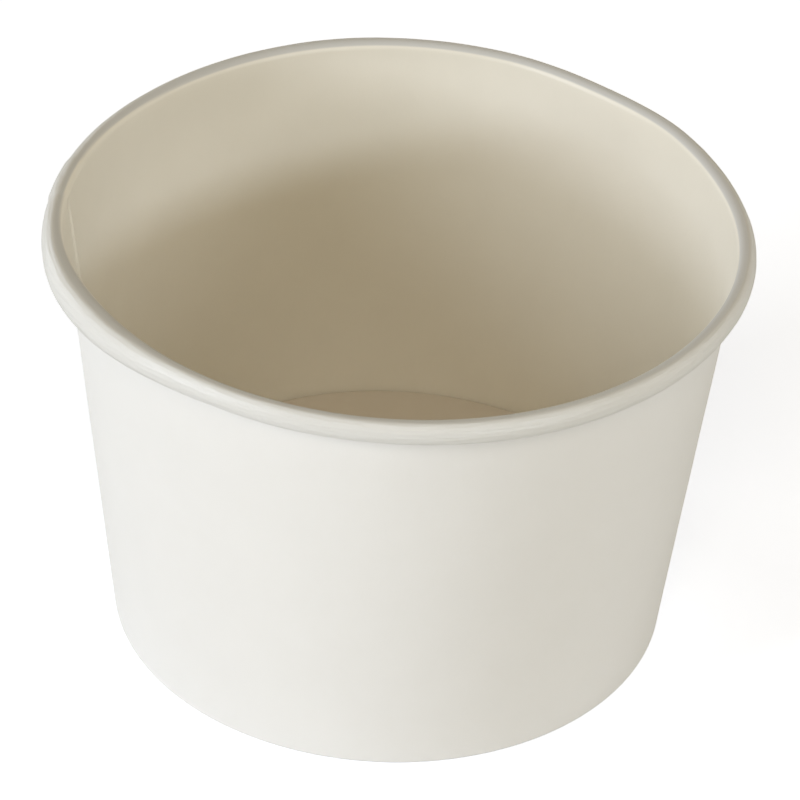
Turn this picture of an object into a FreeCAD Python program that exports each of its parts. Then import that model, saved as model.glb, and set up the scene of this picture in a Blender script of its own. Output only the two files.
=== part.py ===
import FreeCAD, Part
import math
import os

os.makedirs("parts", exist_ok=True)

# Paper sundae cup in two pieces of coated board. Lengths are in millimetres, angles in degrees.
# The origin is the centre of the foot, on the surface that the cup stands on, with +Z up.

# Whole cup
rim_diameter = 95.0        # across the outside of the rolled rim
foot_diameter = 77.0       # across the outside of the wall, run down to the surface it stands on
cup_height = 62.6          # from that surface to the top of the rim

# Board of the side wall, and the rim that it is rolled into
wall_board = 0.42
roll_top_radius = 1.03     # middle of the board, over the top of the roll
roll_side_radius = 1.95    # middle of the board, down the outside of the roll
roll_side_turn = 60.0
roll_tuck = 0.9            # board that runs on up inside the roll
roll_gap = 0.05            # between the tucked board and the wall

# Hem, the foot of the wall creased in and up round the base's skirt
hem_gap = 0.8              # between the hem's cut edge and the underside of the floor

# Base disc, with its skirt turned down inside the wall
base_board = 0.36
floor_height = 7.1         # from the foot to the top of the floor
base_bend_radius = 0.55    # middle of the board, where the floor turns down
skirt_gap = 0.2            # between the skirt's cut edge and the fold
seal_gap = 0.03            # coating between the skirt and the board on each side of it

# Side seam, where one end of the blank laps over the other
seam_direction = 171.0     # where the lap's middle lies, from +X towards +Y
lap_width = 7.0
lap_slope_width = 2.2      # over which the upper end climbs on to the lower one
roll_lap = 0.15            # what the second layer still adds where the roll presses it
foot_lap_start = 0.5       # where the upper end comes out of the fold, along the wall
foot_lap_slope = 0.6       # over which it reaches its full thickness

origin = FreeCAD.Vector(0, 0, 0)
up = FreeCAD.Vector(0, 0, 1)
rim_radius = rim_diameter / 2
foot_radius = foot_diameter / 2
half_board = wall_board / 2
side_half_turn = math.radians(roll_side_turn / 2)


def point(r, z):
    return FreeCAD.Vector(r, 0, z)


# A section of board: it starts at (r, z) with a heading, anticlockwise from outward, and follows
# straight runs and bends. A bend to the left has a positive turn, and a bend whose radius is half
# the board is a crease, sharp on its inside.
def board_section(start, heading, steps, board):
    r, z = start
    heading = math.radians(heading)
    left_edges = []
    right_edges = []

    def beside(distance, r, z, heading):
        return point(r - distance * math.sin(heading), z + distance * math.cos(heading))

    for step in steps:
        if step[0] == "run":
            length = step[1]
            end_r = r + length * math.cos(heading)
            end_z = z + length * math.sin(heading)
            for edges, side in ((left_edges, board / 2), (right_edges, -board / 2)):
                first = beside(side, r, z, heading)
                last = beside(side, end_r, end_z, heading)
                edges.append(Part.LineSegment(first, last).toShape())
            r, z = end_r, end_z
        else:
            turn = math.radians(step[2])
            radius = math.copysign(step[1], turn)
            centre_r = r - radius * math.sin(heading)
            centre_z = z + radius * math.cos(heading)
            for edges, side in ((left_edges, board / 2), (right_edges, -board / 2)):
                arc = []
                reach = radius - side
                for share in (0, 0.5, 1):
                    way = heading + turn * share
                    arc.append(point(centre_r + reach * math.sin(way), centre_z - reach * math.cos(way)))
                if abs(reach) > 0.001:
                    edges.append(Part.Arc(*arc).toShape())
            heading += turn
            r = centre_r + radius * math.sin(heading)
            z = centre_z - radius * math.cos(heading)
    first_cut = Part.LineSegment(right_edges[0].Vertexes[0].Point, left_edges[0].Vertexes[0].Point)
    last_cut = Part.LineSegment(left_edges[-1].Vertexes[-1].Point, right_edges[-1].Vertexes[-1].Point)
    loop = [first_cut.toShape()] + left_edges + [last_cut.toShape()] + right_edges[::-1]
    return Part.Face(Part.Wire(Part.__sortEdges__(loop)))


# Lean of the wall. The roll starts lower and further in as the wall leans more, so the lean and the
# start of the roll are worked out together in a few rounds.
lean = 0.0
for count in range(12):
    roll_reach = roll_top_radius * (math.cos(lean) + math.cos(side_half_turn))
    roll_reach += roll_side_radius * (1 - math.cos(side_half_turn))
    roll_start_r = rim_radius - half_board - roll_reach
    roll_start_z = cup_height - half_board - roll_top_radius * (1 - math.sin(lean))
    foot_line_r = foot_radius - half_board / math.cos(lean)
    lean = math.atan2(roll_start_r - foot_line_r, roll_start_z)
lean_degrees = math.degrees(lean)
lean_cos = math.cos(lean)
lean_sin = math.sin(lean)


# Distance from the axis to the middle of the wall's board, at a height.
def wall_line(z):
    return foot_line_r + z * math.tan(lean)


# Last bend of the roll, which brings the board back beside the wall
roll_end_radius = roll_top_radius * (1 + math.cos(side_half_turn + lean))
roll_end_radius += 2 * roll_side_radius * math.sin(side_half_turn) * lean_sin
roll_end_radius -= wall_board + roll_gap
roll_end_radius /= 1 + math.cos(side_half_turn - lean)

# Foot: the hem's board lies inside the wall's by one wall board, the skirt and its two seals.
fold_radius = half_board
hem_offset = wall_board + base_board + 2 * seal_gap
foot_flat = (hem_offset - 2 * fold_radius) / lean_cos
wall_start_z = half_board + fold_radius * (1 - lean_sin)
wall_start_r = wall_line(wall_start_z)
foot_flat_r = wall_start_r - fold_radius * lean_cos - foot_flat
hem_start_r = foot_flat_r - fold_radius * lean_cos
hem_start_z = half_board + fold_radius * (1 + lean_sin)
hem_length = (floor_height - base_board - hem_gap - hem_start_z) / lean_cos
hem_top = (hem_start_r + hem_length * lean_sin, hem_start_z + hem_length * lean_cos)
wall_length = (roll_start_z - wall_start_z) / lean_cos

# Side wall: hem, fold, wall and rolled rim are one strip of board, turned about the axis.
wall_steps = [
    ("run", hem_length),
    ("bend", fold_radius, 90 + lean_degrees),
    ("run", foot_flat),
    ("bend", fold_radius, 90 - lean_degrees),
    ("run", wall_length),
    ("bend", roll_top_radius, -(180 - lean_degrees - roll_side_turn / 2)),
    ("bend", roll_side_radius, -roll_side_turn),
    ("bend", roll_end_radius, -(180 + lean_degrees - roll_side_turn / 2)),
    ("run", roll_tuck),
]
wall_section = board_section(hem_top, -90 - lean_degrees, wall_steps, wall_board)
side_wall = wall_section.revolve(origin, up, 360)

# Side seam. It is built with its middle on +X and turned to its place at the end. Its second layer
# runs up the wall until the underside of the roll covers it.
sink = wall_board / 4
roll_end_across = (roll_top_radius - roll_end_radius) * (lean_cos + math.cos(side_half_turn))
roll_end_rise = roll_top_radius * (math.sin(side_half_turn) - lean_sin)
roll_end_rise -= 2 * roll_side_radius * math.sin(side_half_turn)
roll_end_rise += roll_end_radius * (math.sin(side_half_turn) + lean_sin)
roll_end_along = roll_start_z / lean_cos + roll_end_across * lean_sin + roll_end_rise * lean_cos
roll_outside = roll_end_radius + half_board
roll_cover = math.sqrt(roll_outside ** 2 - (roll_outside + roll_gap - wall_board) ** 2)
lap_end = roll_end_along - roll_cover + 2 * sink
lap_top_z = lap_end * lean_cos


# Point beside the wall: so far along it from the foot, and so far outward from its outer face.
def beside_wall(along, outward):
    reach = half_board + outward
    r = wall_line(0) + along * lean_sin + reach * lean_cos
    return point(r, along * lean_cos - reach * lean_sin)


lap_corners = [
    beside_wall(foot_lap_start, -sink),
    beside_wall(foot_lap_start, 0),
    beside_wall(foot_lap_start + foot_lap_slope, wall_board),
    beside_wall(lap_end, wall_board),
    beside_wall(lap_end, -sink),
]
lap_turn = math.degrees(lap_width / foot_radius)
lap_face = Part.Face(Part.makePolygon(lap_corners + lap_corners[:1]))
lap_face.rotate(origin, up, -lap_turn)
lap = lap_face.revolve(origin, up, 2 * lap_turn)
lap_space = Part.makeBox(rim_diameter, lap_width, cup_height, FreeCAD.Vector(0, -lap_width / 2, 0))
lap = lap.common(lap_space)


# Three-cornered strip that runs up the wall beside the lap, from corners given as a distance from
# the axis at the start height and a distance round from the lap's middle.
def slope_strip(corners, start_z, end_z):
    points = []
    for r, round_to in corners:
        points.append(FreeCAD.Vector(math.sqrt(r * r - round_to * round_to), round_to, start_z))
    face = Part.Face(Part.makePolygon(points + points[:1]))
    rise = end_z - start_z
    return face.extrude(FreeCAD.Vector(rise * math.tan(lean), 0, rise))


lap_side = lap_width / 2
slope_side = lap_side + lap_slope_width
board_level = wall_board / lean_cos
slope_start_z = foot_lap_start + foot_lap_slope
outer_r = wall_line(slope_start_z) + board_level / 2
outer_corners = [(outer_r - sink, lap_side), (outer_r + board_level, lap_side), (outer_r - sink / 2, slope_side)]
outer_slope = slope_strip(outer_corners, slope_start_z, lap_top_z)
groove_r = wall_line(floor_height) - board_level / 2
groove_corners = [(groove_r - sink, lap_side), (groove_r + board_level, lap_side), (groove_r - sink, slope_side)]
inner_groove = slope_strip(groove_corners, floor_height, roll_start_z - wall_board)

# Second layer over the roll, pressed thin, from the start of the roll to its underside
roll_layer = roll_lap + sink
roll_layer_offset = half_board + roll_lap - roll_layer / 2
roll_layer_start = (roll_start_r - roll_layer_offset * lean_cos, roll_start_z + roll_layer_offset * lean_sin)
roll_layer_steps = [
    ("bend", roll_top_radius + roll_layer_offset, -(180 - lean_degrees - roll_side_turn / 2)),
    ("bend", roll_side_radius + roll_layer_offset, -roll_side_turn),
    ("bend", roll_end_radius + roll_layer_offset, -(90 - roll_side_turn / 2)),
]
roll_layer_face = board_section(roll_layer_start, 90 - lean_degrees, roll_layer_steps, roll_layer)
roll_lap_turn = math.degrees(lap_width / rim_radius)
roll_layer_face.rotate(origin, up, -roll_lap_turn / 2)
roll_layer_part = roll_layer_face.revolve(origin, up, roll_lap_turn)

seam_layers = lap.fuse([outer_slope, roll_layer_part])
seam_layers.rotate(origin, up, seam_direction)
inner_groove.rotate(origin, up, seam_direction)
side_wall = side_wall.fuse(seam_layers).cut(inner_groove).removeSplitter()

# Base disc: floor, bend and skirt are one strip of board, turned about the axis.
skirt_offset = half_board + seal_gap + base_board / 2
floor_z = floor_height - base_board / 2
bend_end_z = floor_z - base_bend_radius * (1 + lean_sin)
bend_end_r = wall_line(bend_end_z) - skirt_offset / lean_cos
floor_run = bend_end_r - base_bend_radius * lean_cos
skirt_length = (bend_end_z - wall_board - skirt_gap) / lean_cos
base_steps = [
    ("run", floor_run),
    ("bend", base_bend_radius, -(90 + lean_degrees)),
    ("run", skirt_length),
]
base_section = board_section((0, floor_z), 0, base_steps, base_board)
base_disc = base_section.revolve(origin, up, 360)

for name, shape in (("side_wall", side_wall), ("base_disc", base_disc)):
    solid = shape.Solids[0]
    print(name, "solids", len(shape.Solids), "valid", shape.isValid(), "volume", round(solid.Volume, 1))
    solid.exportStep("parts/" + name + ".step")
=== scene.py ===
import math

import bpy
import bmesh
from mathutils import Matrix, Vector


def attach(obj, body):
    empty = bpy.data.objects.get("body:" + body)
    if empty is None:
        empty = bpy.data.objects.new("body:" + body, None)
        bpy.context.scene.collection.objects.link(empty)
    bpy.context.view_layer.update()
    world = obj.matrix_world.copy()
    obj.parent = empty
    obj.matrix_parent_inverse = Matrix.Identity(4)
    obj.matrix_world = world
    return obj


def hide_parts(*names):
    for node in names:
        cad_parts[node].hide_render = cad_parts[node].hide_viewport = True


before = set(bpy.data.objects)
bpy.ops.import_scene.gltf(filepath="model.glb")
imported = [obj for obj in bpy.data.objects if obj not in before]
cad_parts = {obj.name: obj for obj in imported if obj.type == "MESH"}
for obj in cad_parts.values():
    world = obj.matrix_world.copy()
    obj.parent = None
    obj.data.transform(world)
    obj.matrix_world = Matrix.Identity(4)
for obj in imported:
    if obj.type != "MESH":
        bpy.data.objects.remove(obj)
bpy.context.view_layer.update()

mm = 0.001

# Sizes are in millimetres and turns in degrees. Directions go from +X towards +Y.
cup = {
    "rimDiameter": 95.0,
    "footDiameter": 77.0,
    "height": 62.6,
}
wallBoard = {
    "thickness": 0.42,
    "rollTop": 1.03,        # middle of the board over the top of the rolled rim
    "rollSide": 1.95,
    "rollSideTurn": 60.0,
    "rollTuck": 0.9,
    "rollGap": 0.05,
    "fold": 0.24,
    "hemGap": 0.8,
    "nextToBend": 2.0,      # closer rows of points run this far beside the fold and the roll
    "slack": 0.2,           # points this near the wall's line belong to the wall
    "waver": 0.16,          # unevenness of the board, from one side to the other
    "waverScale": 26.0,
    "rollWaver": 0.09,
    "rollWaverScale": 7.0,
    "rollWaverFrom": (0.9, 1.8),  # it grows between these distances from the wall
    "rollDepth": 3.0,
    "oval": 0.0145,         # the rim is squeezed by this part of its radius
    "ovalDirection": -45.0,  # its long way
    "presses": [
        # direction, spread to each side, and how far the rim stands out there
        (190, 25, 0.45),
        (140, 40, -0.62),
        (90, 38, 0.42),
        (52, 20, -0.5),
        (22, 20, -0.2),
        (350, 24, 0.2),
    ],
    "pressDepth": 8.0,      # below the start of the roll
    "swelling": {"direction": 207, "spread": 35, "out": 1.45, "down": 1.6},
}
baseBoard = {
    "thickness": 0.36,
    "floorHeight": 7.1,
    "bend": 0.55,
    "skirtGap": 0.2,
    "sealGap": 0.03,
    "skirtMiddle": 3.0,
}
# widths over which the boards' waver dies away
waverEnds = {
    "underRoll": 6.0,
    "overFloor": 8.0,
    "floorEdge": (12.0, 4.0),
}
sideSeam = {
    "direction": 171.0,     # middle of the lap
    "lap": 7.0,
    "lapShare": 0.98,       # thickness of the lap's second layer, as a part of the board's
    "slope": 2.2,
    "step": 0.06,           # width of the cut edge's own face, seen from above
    "rollBump": 0.15,
    "bumpAbove": 43.0,
    "bumpSoft": 1.6,        # degrees
    "footStart": 0.5,
    "footSlope": 0.6,
    "footShare": 0.8,       # part of the board's thickness that the slope at the foot rises
    "underRoll": 2.0,
}


def leanOfWall():
    # the lean and the start of the roll depend on each other, so they are worked out in turns
    board = wallBoard["thickness"]
    half = math.radians(wallBoard["rollSideTurn"] / 2)
    lean = 0.0
    for attempt in range(12):
        reach = wallBoard["rollTop"] * (math.cos(lean) + math.cos(half))
        reach += wallBoard["rollSide"] * (1 - math.cos(half))
        startR = cup["rimDiameter"] / 2 - board / 2 - reach
        startZ = cup["height"] - board / 2 - wallBoard["rollTop"] * (1 - math.sin(lean))
        footR = cup["footDiameter"] / 2 - board / 2 / math.cos(lean)
        lean = math.atan2(startR - footR, startZ)
    return lean, footR, startZ


lean, footLine, rollStartZ = leanOfWall()
leanDegrees = math.degrees(lean)


def wallLine(z):
    return footLine + z * math.tan(lean)


# Board is laid by drawing a single point along runs and bends and turning the line about the cup's axis.
def startBoard(name, r, z, materials):
    bpy.ops.object.select_all(action="DESELECT")
    bpy.ops.mesh.primitive_plane_add(size=mm, location=(0, 0, 0))
    piece = bpy.context.object
    piece.name = name
    piece.data.name = name
    for material in materials:
        piece.data.materials.append(material)
    bpy.ops.object.mode_set(mode="EDIT")
    bpy.ops.mesh.select_mode(type="VERT")
    bpy.ops.mesh.select_all(action="SELECT")
    bpy.ops.mesh.merge(type="CENTER")
    bpy.ops.transform.translate(value=(r * mm, 0, z * mm))
    return piece


def layBoard(start, heading, steps):
    # a step is a run with its length and parts, or a bend with its radius, turn and parts
    r, z = start
    heading = math.radians(heading)
    for step in steps:
        if step[0] == "run":
            length, parts = step[1], step[2]
            part = length / parts * mm
            move = (part * math.cos(heading), 0, part * math.sin(heading))
            for count in range(parts):
                bpy.ops.mesh.extrude_vertices_move(TRANSFORM_OT_translate={"value": move})
            r += length * math.cos(heading)
            z += length * math.sin(heading)
        else:
            radius, turn, parts = step[1], math.radians(step[2]), step[3]
            side = math.copysign(radius, turn)
            centreR, centreZ = r - side * math.sin(heading), z + side * math.cos(heading)
            pivot = (centreR * mm, 0, centreZ * mm)
            bpy.ops.mesh.spin(steps=parts, angle=turn, center=pivot, axis=(0, 1, 0))
            heading += turn
            r = centreR + side * math.sin(heading)
            z = centreZ - side * math.cos(heading)
    return r, z, heading


def turnBoard(stages):
    bpy.ops.mesh.select_all(action="SELECT")
    for angle, parts in stages:
        bpy.ops.mesh.spin(steps=parts, angle=math.radians(angle), center=(0, 0, 0), axis=(0, 0, -1))


def closeSheet(piece, outwardAt):
    # the face nearest to the given place has to look away from the cup's axis
    bpy.ops.mesh.select_all(action="SELECT")
    bpy.ops.mesh.remove_doubles(threshold=0.002 * mm)
    bpy.ops.mesh.normals_make_consistent(inside=False)
    bpy.ops.object.mode_set(mode="OBJECT")
    face = min(piece.data.polygons, key=lambda f: (f.center - Vector(outwardAt) * mm).length)
    if face.normal.dot(Vector((face.center.x, face.center.y, 0))) < 0:
        bpy.ops.object.mode_set(mode="EDIT")
        bpy.ops.mesh.select_all(action="SELECT")
        bpy.ops.mesh.flip_normals()
        bpy.ops.object.mode_set(mode="OBJECT")


def useModifier(piece, kind, **values):
    changer = piece.modifiers.new(kind.title(), kind)
    for name, value in values.items():
        setattr(changer, name, value)
    bpy.context.view_layer.objects.active = piece
    bpy.ops.object.modifier_apply(modifier=changer.name)


def pushPart(piece, name, weightAt, push, **values):
    group = piece.vertex_groups.new(name=name)
    for point in piece.data.vertices:
        weight = weightAt(point.co / mm)
        if weight > 0:
            group.add([point.index], min(weight, 1.0), "REPLACE")
    useModifier(piece, "DISPLACE", strength=push * mm, vertex_group=name, **values)
    piece.vertex_groups.remove(piece.vertex_groups[name])


def giveThickness(piece, thickness):
    # the second material is the inside's and the third the cut edge's
    useModifier(
        piece, "SOLIDIFY", thickness=thickness * mm, offset=0, use_even_offset=True,
        use_quality_normals=True, material_offset=1, material_offset_rim=2)


def smoothSheet(piece, angle=40):
    bpy.ops.object.select_all(action="DESELECT")
    piece.select_set(True)
    bpy.context.view_layer.objects.active = piece
    bpy.ops.object.shade_smooth_by_angle(angle=math.radians(angle))


def turnPiece(piece, angle):
    bpy.ops.object.select_all(action="DESELECT")
    piece.select_set(True)
    bpy.context.view_layer.objects.active = piece
    piece.rotation_euler.z = math.radians(angle)
    bpy.ops.object.transform_apply(location=True, rotation=True, scale=True)


def finishPiece(piece, node):
    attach(piece, "root")
    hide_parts(node)


def around(point):
    return math.degrees(math.atan2(point.y, point.x))


def ramp(value, low, high):
    share = min(max((value - low) / (high - low), 0.0), 1.0)
    return share * share * (3 - 2 * share)


def newGroup(name, inputs, outputs):
    tree = bpy.data.node_groups.new(name, "ShaderNodeTree")
    for direction, sockets in (("INPUT", inputs), ("OUTPUT", outputs)):
        for socketName, socketType, value in sockets:
            socket = tree.interface.new_socket(name=socketName, in_out=direction, socket_type=socketType)
            if value is not None:
                socket.default_value = value
    return tree, tree.nodes.new("NodeGroupInput"), tree.nodes.new("NodeGroupOutput")


def addMath(tree, operation, first, second):
    node = tree.nodes.new("ShaderNodeMath")
    node.operation = operation
    for socket, value in zip(node.inputs, (first, second)):
        if isinstance(value, (int, float)):
            socket.default_value = value
        else:
            tree.links.new(value, socket)
    return node.outputs[0]


def makeBoardGroup():
    inputs = [
        ("Position", "NodeSocketVector", None),
        ("Cloud Size", "NodeSocketFloat", 4.0),
        ("Fibre Size", "NodeSocketFloat", 0.35),
    ]
    outputs = [
        ("Cloud", "NodeSocketFloat", None),
        ("Fibres", "NodeSocketFloat", None),
    ]
    tree, start, end = newGroup("boardFibres", inputs, outputs)
    perCloud = addMath(tree, "DIVIDE", 1 / mm, start.outputs["Cloud Size"])
    perFibre = addMath(tree, "DIVIDE", 1 / mm, start.outputs["Fibre Size"])
    cloud = tree.nodes.new("ShaderNodeTexNoise")
    cloud.inputs["Detail"].default_value = 4.0
    tree.links.new(start.outputs["Position"], cloud.inputs["Vector"])
    tree.links.new(perCloud, cloud.inputs["Scale"])
    stretch = tree.nodes.new("ShaderNodeMapping")
    stretch.inputs["Scale"].default_value = (1.0, 1.0, 0.35)
    tree.links.new(start.outputs["Position"], stretch.inputs["Vector"])
    fibre = tree.nodes.new("ShaderNodeTexNoise")
    fibre.inputs["Detail"].default_value = 5.0
    fibre.inputs["Roughness"].default_value = 0.6
    tree.links.new(stretch.outputs["Vector"], fibre.inputs["Vector"])
    tree.links.new(perFibre, fibre.inputs["Scale"])
    tree.links.new(cloud.outputs["Fac"], end.inputs["Cloud"])
    tree.links.new(fibre.outputs["Fac"], end.inputs["Fibres"])
    return tree


boardFibres = makeBoardGroup()
boards = {
    "outsideBoard": {
        "light": (0.797, 0.789, 0.78),
        "dark": (0.787, 0.779, 0.77),
        "roughness": 0.55,
        "specular": 0.35,
        "bump": 0.35,
        "cloudSize": 7.0,
        "fibreSize": 0.35,
    },
    "insideBoard": {
        "light": (0.79, 0.755, 0.675),
        "dark": (0.775, 0.74, 0.66),
        "roughness": 0.42,
        "specular": 0.4,
        "bump": 0.25,
        "cloudSize": 7.0,
        "fibreSize": 0.45,
    },
    # painted shade: the inside's board made darker and warmer for the shade at the bottom of the cup
    "floorBoardPaintedShade": {
        "light": (0.65, 0.59, 0.515),
        "dark": (0.64, 0.58, 0.505),
        "roughness": 0.5,
        "specular": 0.35,
        "bump": 0.25,
        "cloudSize": 7.0,
        "fibreSize": 0.45,
    },
    "cutBoard": {
        "light": (0.80, 0.78, 0.71),
        "dark": (0.70, 0.67, 0.59),
        "roughness": 0.9,
        "specular": 0.2,
        "bump": 0.9,
        "cloudSize": 0.6,
        "fibreSize": 0.12,
    },
}
cloudRange = (0.3, 0.7)
roughnessSpread = 0.05
fibreHeight = 0.05
# the stretched board of the roll is whiter than the inside of the wall; its top is painted grey, as painted
# shade where less light falls from above
rims = {
    "rollWhite": {"colour": (0.69, 0.685, 0.67), "roughness": 0.38, "near": 0.9, "far": 1.4},
    # painted shade: a greyer colour over the roll's top, for the weaker light from above
    "rollTopPaintedShade": {
        "colour": (0.555, 0.55, 0.54),
        "roughness": 0.6,
        "inner": (-0.2, 0.05),
        "outer": (1.0, 1.6),
        "seamInner": 0.3,   # the painted shade is this much narrower near the seam
        "seamOuter": 0.35,
        "seamSpread": 50,
    },
}
creases = {"length": 5.0, "width": 0.5, "depth": 18.0}


def makeBoard(name, rolled=False):
    board = boards[name]
    material = bpy.data.materials.new(name)
    material.use_nodes = True
    tree = material.node_tree
    shader = tree.nodes["Principled BSDF"]
    place = tree.nodes.new("ShaderNodeTexCoord")
    fibres = tree.nodes.new("ShaderNodeGroup")
    fibres.node_tree = boardFibres
    fibres.inputs["Cloud Size"].default_value = board["cloudSize"]
    fibres.inputs["Fibre Size"].default_value = board["fibreSize"]
    tree.links.new(place.outputs["Object"], fibres.inputs["Position"])
    tint = tree.nodes.new("ShaderNodeValToRGB")
    tints = (board["dark"], board["light"])
    for element, position, colour in zip(tint.color_ramp.elements, cloudRange, tints):
        element.position = position
        element.color = (*colour, 1)
    tree.links.new(fibres.outputs["Cloud"], tint.inputs["Fac"])
    spread = tree.nodes.new("ShaderNodeMapRange")
    spread.inputs["To Min"].default_value = board["roughness"] - roughnessSpread
    spread.inputs["To Max"].default_value = board["roughness"] + roughnessSpread
    tree.links.new(fibres.outputs["Fibres"], spread.inputs["Value"])
    colour, rough, surface = tint.outputs["Color"], spread.outputs["Result"], fibres.outputs["Fibres"]
    if rolled:
        colour, rough = addRim(tree, colour, rough)
        surface = addMath(tree, "ADD", surface, addCreases(tree))
    tree.links.new(colour, shader.inputs["Base Color"])
    tree.links.new(rough, shader.inputs["Roughness"])
    shader.inputs["Specular IOR Level"].default_value = board["specular"]
    height = tree.nodes.new("ShaderNodeBump")
    height.inputs["Strength"].default_value = board["bump"]
    height.inputs["Distance"].default_value = fibreHeight * mm
    tree.links.new(surface, height.inputs["Height"])
    tree.links.new(height.outputs["Normal"], shader.inputs["Normal"])
    return material


def addRim(tree, colour, rough):
    # the roll's whiter board, then the painted shade over its top
    for name, rim in rims.items():
        share = tree.nodes.new("ShaderNodeAttribute")
        share.attribute_name = name
        tint = tree.nodes.new("ShaderNodeMix")
        tint.data_type = "RGBA"
        tree.links.new(share.outputs["Fac"], tint.inputs["Factor"])
        tree.links.new(colour, tint.inputs["A"])
        tint.inputs["B"].default_value = (*rim["colour"], 1)
        sheen = tree.nodes.new("ShaderNodeMix")
        tree.links.new(share.outputs["Fac"], sheen.inputs["Factor"])
        tree.links.new(rough, sheen.inputs["A"])
        sheen.inputs["B"].default_value = rim["roughness"]
        colour, rough = tint.outputs["Result"], sheen.outputs["Result"]
    return colour, rough


def addCreases(tree):
    # short creases along the roll, where its board was stretched round the bend
    place = tree.nodes.new("ShaderNodeAttribute")
    place.attribute_name = "rollPlace"
    long = tree.nodes.new("ShaderNodeMapping")
    long.inputs["Scale"].default_value = (1 / creases["length"], 1 / creases["width"], 1)
    tree.links.new(place.outputs["Vector"], long.inputs["Vector"])
    crease = tree.nodes.new("ShaderNodeTexNoise")
    crease.inputs["Scale"].default_value = 1.0
    crease.inputs["Detail"].default_value = 3.0
    tree.links.new(long.outputs["Vector"], crease.inputs["Vector"])
    share = tree.nodes.new("ShaderNodeAttribute")
    share.attribute_name = "rollWhite"
    deep = addMath(tree, "MULTIPLY", crease.outputs["Fac"], creases["depth"])
    return addMath(tree, "MULTIPLY", deep, share.outputs["Fac"])


outsideBoard = makeBoard("outsideBoard")
insideBoard = makeBoard("insideBoard", rolled=True)
floorBoardPaintedShade = makeBoard("floorBoardPaintedShade")
cutBoard = makeBoard("cutBoard")
sideBoards = (outsideBoard, insideBoard, cutBoard)
baseBoards = (floorBoardPaintedShade, floorBoardPaintedShade, cutBoard)
print("materials made")


def rollSizes():
    half = math.radians(wallBoard["rollSideTurn"] / 2)
    top, side = wallBoard["rollTop"], wallBoard["rollSide"]
    end = top * (1 + math.cos(half + lean)) + 2 * side * math.sin(half) * math.sin(lean)
    end -= wallBoard["thickness"] + wallBoard["rollGap"]
    end /= 1 + math.cos(half - lean)
    return top, side, end


meanRadius = (cup["rimDiameter"] + cup["footDiameter"]) / 4
lapTurn = math.degrees(sideSeam["lap"] / meanRadius)
stepTurn = math.degrees(sideSeam["step"] / meanRadius)
slopeTurn = math.degrees(sideSeam["slope"] / meanRadius)
wallSide = (cup["rimDiameter"] / 2, 0, cup["height"] / 2)


def besideSeam(point):
    # 1 on the lap's second layer, falling to 0 down its slope
    return 1 - ramp(around(point), lapTurn / 2 + stepTurn, lapTurn / 2 + stepTurn + slopeTurn)


def offWall(point):
    return math.hypot(point.x, point.y) - wallLine(point.z)


def isWall(point):
    slack = wallBoard["slack"]
    return abs(offWall(point)) < slack and point.z < rollStartZ + slack / 2


def jogWeight(point):
    onSlope = lapTurn / 2 + stepTurn / 2 < around(point) < lapTurn / 2 + stepTurn + slopeTurn
    if not onSlope or not isWall(point):
        return 0
    low = ramp(point.z, sideSeam["footStart"], sideSeam["footStart"] + sideSeam["footSlope"])
    high = 1 - ramp(point.z, rollStartZ - sideSeam["underRoll"], rollStartZ)
    return besideSeam(point) * low * high


def bumpWeight(point):
    turn = around(point)
    if abs(turn) > lapTurn or isWall(point) or point.z < sideSeam["bumpAbove"]:
        return 0
    soft = sideSeam["bumpSoft"]
    return ramp(turn, -lapTurn / 2 - soft, -lapTurn / 2) * (1 - ramp(turn, lapTurn / 2, lapTurn / 2 + soft))


def makeWallSheet():
    board, fold = wallBoard["thickness"], wallBoard["fold"]
    top, side, end = rollSizes()
    sideTurn = wallBoard["rollSideTurn"]
    hemOffset = board + baseBoard["thickness"] + 2 * baseBoard["sealGap"]
    footFlat = (hemOffset - 2 * fold) / math.cos(lean)
    wallStartZ = board / 2 + fold * (1 - math.sin(lean))
    hemStartR = wallLine(wallStartZ) - 2 * fold * math.cos(lean) - footFlat
    hemStartZ = board / 2 + fold * (1 + math.sin(lean))
    hemEndZ = baseBoard["floorHeight"] - baseBoard["thickness"] - wallBoard["hemGap"]
    hemLength = (hemEndZ - hemStartZ) / math.cos(lean)
    hemTop = (hemStartR + hemLength * math.sin(lean), hemStartZ + hemLength * math.cos(lean))
    wallLength = (rollStartZ - wallStartZ) / math.cos(lean)
    near = wallBoard["nextToBend"]

    piece = startBoard("sideWall", *hemTop, sideBoards)
    layBoard(hemTop, -90 - leanDegrees, [
        ("run", hemLength, 8),
        ("bend", fold, 90 + leanDegrees, 5),
        ("run", footFlat, 1),
        ("bend", fold, 90 - leanDegrees, 5),
        ("run", near, 6),
        ("run", wallLength - 2 * near, 30),
        ("run", near, 6),
        ("bend", top, -(180 - leanDegrees - sideTurn / 2), 12),
        ("bend", side, -sideTurn, 6),
        ("bend", end, -(180 + leanDegrees - sideTurn / 2), 10),
        ("run", wallBoard["rollTuck"], 2),
    ])
    bpy.ops.mesh.select_all(action="SELECT")
    bpy.ops.transform.rotate(value=math.radians(-lapTurn / 2), orient_axis="Z", center_override=(0, 0, 0))
    rest = 360 - lapTurn - stepTurn - slopeTurn
    turnBoard([(stepTurn, 1), (slopeTurn, 6), (rest, 330), (lapTurn, 10)])
    closeSheet(piece, wallSide)
    pushPart(piece, "seamJog", jogWeight, board, mid_level=0)
    pushPart(piece, "seamBump", bumpWeight, -sideSeam["rollBump"], mid_level=0)
    waver(piece, "looseWall", looseWeight, wallBoard["waverScale"], wallBoard["waver"])
    waver(piece, "looseRoll", rollWeight, wallBoard["rollWaverScale"], wallBoard["rollWaver"])
    giveThickness(piece, board)
    markRim(piece)
    return piece


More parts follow.
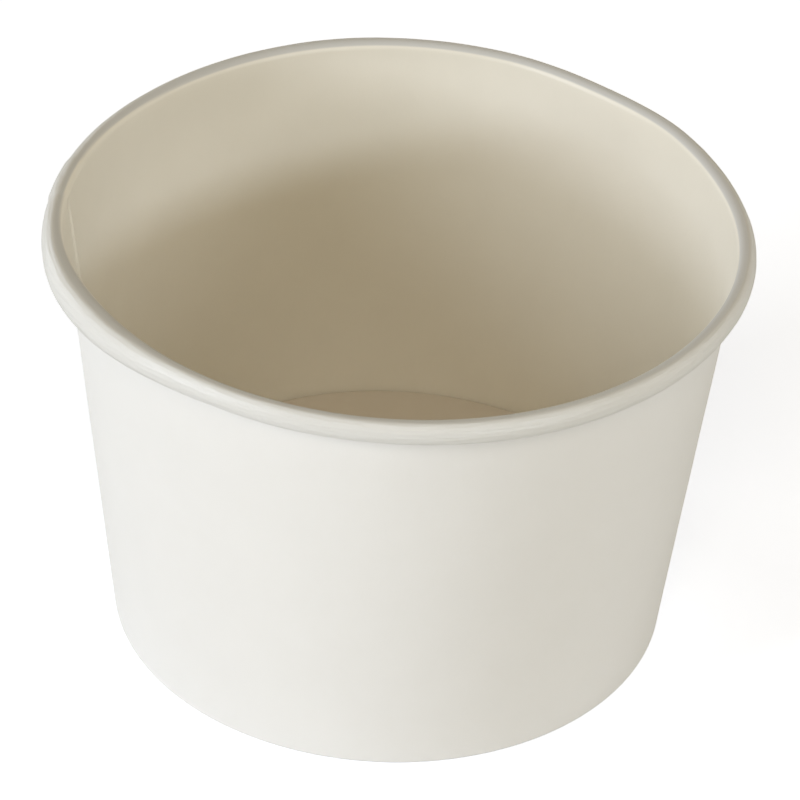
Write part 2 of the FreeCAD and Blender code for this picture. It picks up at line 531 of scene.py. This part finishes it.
def markRim(piece):
    # the inside's material reads where the roll is white or has painted shade over its top, and the place
    # along and across it
    white, topShade = rims["rollWhite"], rims["rollTopPaintedShade"]

    def whiteAt(place):
        more = topShade["seamOuter"] * nearFront(place, topShade["seamSpread"])
        return ramp(offWall(place) + more, white["near"], white["far"])

    # painted shade over the roll's top, narrower near the seam
    def topShadeAt(place):
        if place.z < rollStartZ + wallBoard["rollTop"] / 2:
            return 0
        less = nearFront(place, topShade["seamSpread"])
        inner = ramp(offWall(place) - topShade["seamInner"] * less, *topShade["inner"])
        return inner * (1 - ramp(offWall(place) + topShade["seamOuter"] * less, *topShade["outer"]))

    for name, markAt in (("rollWhite", whiteAt), ("rollTopPaintedShade", topShadeAt)):
        marks = piece.data.attributes.new(name, "FLOAT", "POINT")
        for point, mark in zip(piece.data.vertices, marks.data):
            mark.value = markAt(point.co / mm)
    marks = piece.data.attributes.new("rollPlace", "FLOAT_VECTOR", "POINT")
    for point, mark in zip(piece.data.vertices, marks.data):
        place = point.co / mm
        # the jump from 360 degrees to 0 falls on the lap
        along = math.radians(around(place) % 360) * cup["rimDiameter"] / 2
        mark.vector = (along, place.z - offWall(place), 0)


def makeLap():
    board = wallBoard["thickness"]
    top, side, end = rollSizes()
    half = math.radians(wallBoard["rollSideTurn"] / 2)
    across = (top - end) * (math.cos(lean) + math.cos(half))
    rise = top * (math.sin(half) - math.sin(lean)) - 2 * side * math.sin(half)
    rise += end * (math.sin(half) + math.sin(lean))
    endAlong = rollStartZ / math.cos(lean) + across * math.sin(lean) + rise * math.cos(lean)
    outside = end + board / 2
    cover = math.sqrt(outside ** 2 - (outside + wallBoard["rollGap"] - board) ** 2)
    lapEnd = endAlong - cover + board / 2
    start, footSlope = sideSeam["footStart"], sideSeam["footSlope"]
    sunk = board * (1 - sideSeam["footShare"])
    startR = footLine + start * math.sin(lean) + sunk * math.cos(lean)
    startZ = start * math.cos(lean) - sunk * math.sin(lean)
    climb = board - sunk
    slopeLength = math.hypot(footSlope, climb)
    heading = 90 - leanDegrees - math.degrees(math.atan2(climb, footSlope))
    piece = startBoard("lapEnd", startR, startZ, sideBoards)
    r, z, heading = layBoard((startR, startZ), heading, [("run", slopeLength, 3)])
    layBoard((r, z), 90 - leanDegrees, [("run", lapEnd - start - footSlope, 40)])
    bpy.ops.mesh.select_all(action="SELECT")
    bpy.ops.transform.rotate(value=math.radians(lapTurn / 2), orient_axis="Z", center_override=(0, 0, 0))
    turnBoard([(lapTurn, 10)])
    closeSheet(piece, wallSide)
    waver(piece, "looseLap", looseWeight, wallBoard["waverScale"], wallBoard["waver"])
    giveThickness(piece, board * sideSeam["lapShare"])
    return piece


def looseWeight(point):
    # none at the folds, the roll and the bend round the floor
    floor = baseBoard["floorHeight"]
    if point.z > cup["height"] / 2:
        return 1 - ramp(point.z, rollStartZ - waverEnds["underRoll"], rollStartZ)
    if point.z > floor:
        return ramp(point.z, floor, floor + waverEnds["overFloor"])
    inner, outer = waverEnds["floorEdge"]
    return 1 - ramp(math.hypot(point.x, point.y), footLine - inner, footLine - outer)


def rollWeight(point):
    # only the outside of the roll, away from the wall that it lies on
    if point.z < rollStartZ - wallBoard["rollDepth"]:
        return 0
    return ramp(offWall(point), *wallBoard["rollWaverFrom"])


def waver(piece, name, weightAt, scale, strength):
    wave = bpy.data.textures.new(name, "CLOUDS")
    wave.noise_scale = scale * mm
    wave.noise_depth = 1
    pushPart(piece, name, weightAt, strength, texture=wave, texture_coords="LOCAL", mid_level=0.5)


def squeezeRim(piece):
    turnPiece(piece, -wallBoard["ovalDirection"])
    bpy.ops.object.mode_set(mode="EDIT")
    bpy.ops.mesh.select_all(action="DESELECT")
    shape = bmesh.from_edit_mesh(piece.data)
    for point in shape.verts:
        point.select_set(point.co.z > rollStartZ * mm)
    shape.select_flush(True)
    bmesh.update_edit_mesh(piece.data)
    oval = wallBoard["oval"]
    bpy.ops.transform.resize(
        value=(1 + oval, 1 - oval, 1), center_override=(0, 0, 0), use_proportional_edit=True,
        proportional_edit_falloff="SMOOTH", proportional_size=rollStartZ * mm)
    bpy.ops.object.mode_set(mode="OBJECT")
    turnPiece(piece, wallBoard["ovalDirection"])


def nearFront(point, spread):
    # 1 straight along +X, falling to 0 at the spread's angle on both sides
    return 1 - ramp(abs(around(point)), 0, spread)


def swellRoll(piece, direction, spread, out, down):
    # the roll is thick and hangs low here, as if its turns had come loose
    wide, high = wallBoard["rollTop"] + wallBoard["rollSide"], 2 * wallBoard["rollSide"]

    def outward(point):
        # grows evenly from the wall to the roll's outside
        return nearFront(point, spread) * offWall(point) / wide if point.z > rollStartZ - high else 0

    def downward(point):
        # grows evenly too from the top of the rim to the roll's underside
        return outward(point) * min((cup["height"] - point.z) / high, 1.0)

    turnPiece(piece, -direction)
    pushPart(piece, "swellDown", downward, -down, direction="Z", mid_level=0)
    pushPart(piece, "swellOut", outward, out, direction="X", mid_level=0)
    turnPiece(piece, direction)


def pressRim(piece, direction, spread, out):
    # the roll and the top of the wall stand out, or in, near one direction
    deep = rollStartZ - wallBoard["pressDepth"]

    def pressAt(point):
        return nearFront(point, spread) * ramp(point.z, deep, rollStartZ)

    turnPiece(piece, -direction)
    pushPart(piece, "press", pressAt, out, direction="X", mid_level=0)
    turnPiece(piece, direction)


def makeSideWall():
    piece = makeWallSheet()
    lap = makeLap()
    bpy.ops.object.select_all(action="DESELECT")
    lap.select_set(True)
    piece.select_set(True)
    bpy.context.view_layer.objects.active = piece
    bpy.ops.object.join()
    turnPiece(piece, sideSeam["direction"])
    swellRoll(piece, **wallBoard["swelling"])
    squeezeRim(piece)
    for press in wallBoard["presses"]:
        pressRim(piece, *press)
    smoothSheet(piece)
    finishPiece(piece, "side_wall")


makeSideWall()
print("side wall made")


def makeBaseDisc():
    board, bend = baseBoard["thickness"], baseBoard["bend"]
    skirtOffset = wallBoard["thickness"] / 2 + baseBoard["sealGap"] + board / 2
    floorZ = baseBoard["floorHeight"] - board / 2
    bendEndZ = floorZ - bend * (1 + math.sin(lean))
    bendEndR = wallLine(bendEndZ) - skirtOffset / math.cos(lean)
    floorRun = bendEndR - bend * math.cos(lean)
    skirt = (bendEndZ - wallBoard["thickness"] - baseBoard["skirtGap"]) / math.cos(lean)
    piece = startBoard("baseDisc", 0, floorZ, baseBoards)
    layBoard((0, floorZ), 0, [
        ("run", floorRun, 26),
        ("bend", bend, -(90 + leanDegrees), 8),
        ("run", skirt, 4),
    ])
    turnBoard([(360, 240)])
    low = baseBoard["skirtMiddle"]
    closeSheet(piece, (wallLine(low), 0, low))
    waver(piece, "looseFloor", looseWeight, wallBoard["waverScale"], wallBoard["waver"])
    giveThickness(piece, board)
    smoothSheet(piece)
    finishPiece(piece, "base_disc")


makeBaseDisc()
print("base disc made")

studio = {
    "floorSize": 6.0,
    "sky": (1.48, 1.12, 0.4),
    "skyStrength": 0.148,
    "floorGlow": (0.52, 0.55, 0.62),
    "lampDistance": 1.2,
    "lampTarget": 0.04,     # metres above the floor
}
# from the camera's side: direction, height, width, tallness, watts, colour
lamps = {
    "sideWindow": (-60, 10, 0.5, 0.18, 4.45, (0.9, 0.98, 1.12)),
    "sideSoftbox": (-60, 25, 0.45, 0.45, 4.6, (0.93, 1.0, 1.07)),
    "backSoftbox": (-120, 15, 0.45, 0.45, 2.5, (0.94, 1.0, 1.06)),
    "rightWindow": (40, 13, 0.5, 0.1, 3.25, (0.9, 1.0, 1.1)),
    "rightSoftbox": (90, 25, 0.45, 0.45, 2.6, (1.0, 1.0, 1.0)),
    "highFill": (0, 45, 0.45, 0.45, 2.7, (1.1, 1.015, 0.885)),
}


def makeFloor():
    bpy.ops.object.select_all(action="DESELECT")
    bpy.ops.mesh.primitive_plane_add(size=studio["floorSize"], location=(0, 0, 0))
    floor = bpy.context.object
    floor.name = "studioFloor"
    paint = bpy.data.materials.new("studioPaint")
    paint.use_nodes = True
    tree = paint.node_tree
    shader = tree.nodes["Principled BSDF"]
    shader.inputs["Base Color"].default_value = (0.8, 0.8, 0.8, 1)
    shader.inputs["Roughness"].default_value = 0.9
    shader.inputs["Specular IOR Level"].default_value = 0.0
    shader.inputs["Emission Color"].default_value = (*studio["floorGlow"], 1)
    # the floor glows only for the camera, so it looks white and doesn't light the cup
    path = tree.nodes.new("ShaderNodeLightPath")
    tree.links.new(path.outputs["Is Camera Ray"], shader.inputs["Emission Strength"])
    floor.data.materials.append(paint)


def makeSky():
    # white where it is seen or mirrored, and dim and warm where it lights the cup
    world = bpy.data.worlds.new("studioSky")
    bpy.context.scene.world = world
    world.use_nodes = True
    nodes, links = world.node_tree.nodes, world.node_tree.links
    background = nodes["Background"]
    path = nodes.new("ShaderNodeLightPath")
    seen = nodes.new("ShaderNodeMath")
    seen.operation = "MAXIMUM"
    links.new(path.outputs["Is Camera Ray"], seen.inputs[0])
    links.new(path.outputs["Is Glossy Ray"], seen.inputs[1])
    colour = nodes.new("ShaderNodeMix")
    colour.data_type = "RGBA"
    dim = [part * studio["skyStrength"] for part in studio["sky"]]
    colour.inputs["A"].default_value = (*dim, 1)
    colour.inputs["B"].default_value = (1, 1, 1, 1)
    links.new(seen.outputs[0], colour.inputs["Factor"])
    links.new(colour.outputs["Result"], background.inputs["Color"])
    background.inputs["Strength"].default_value = 1.0


def aimLamp(name, azimuth, elevation, width, tallness, power, colour):
    lamp = bpy.data.lights.new(name, "AREA")
    lamp.shape = "RECTANGLE"
    lamp.size = width
    lamp.size_y = tallness
    lamp.energy = power
    lamp.color = colour
    holder = bpy.data.objects.new(name, lamp)
    bpy.context.collection.objects.link(holder)
    turn, rise = math.radians(azimuth), math.radians(elevation)
    away = Vector((math.sin(turn) * math.cos(rise), -math.cos(turn) * math.cos(rise), math.sin(rise)))
    target = Vector((0, 0, studio["lampTarget"]))
    holder.location = target + away * studio["lampDistance"]
    holder.rotation_euler = (target - holder.location).to_track_quat("-Z", "Y").to_euler()


makeFloor()
makeSky()
for name, values in lamps.items():
    aimLamp(name, *values)

view = {
    "place": (0, -525.012, 408.151),
    "turn": (54.4222, -1.9098, 1.2796),
    "lens": 210.844,
}
camera = bpy.data.cameras.new("photoCamera")
camera.lens = view["lens"]
camera.sensor_width = 36
camera.clip_start = 0.01
cameraHolder = bpy.data.objects.new("photoCamera", camera)
bpy.context.collection.objects.link(cameraHolder)
cameraHolder.location = Vector(view["place"]) * mm
cameraHolder.rotation_euler = [math.radians(angle) for angle in view["turn"]]
bpy.context.scene.camera = cameraHolder
bpy.context.scene.view_settings.view_transform = "Standard"
print("studio made")
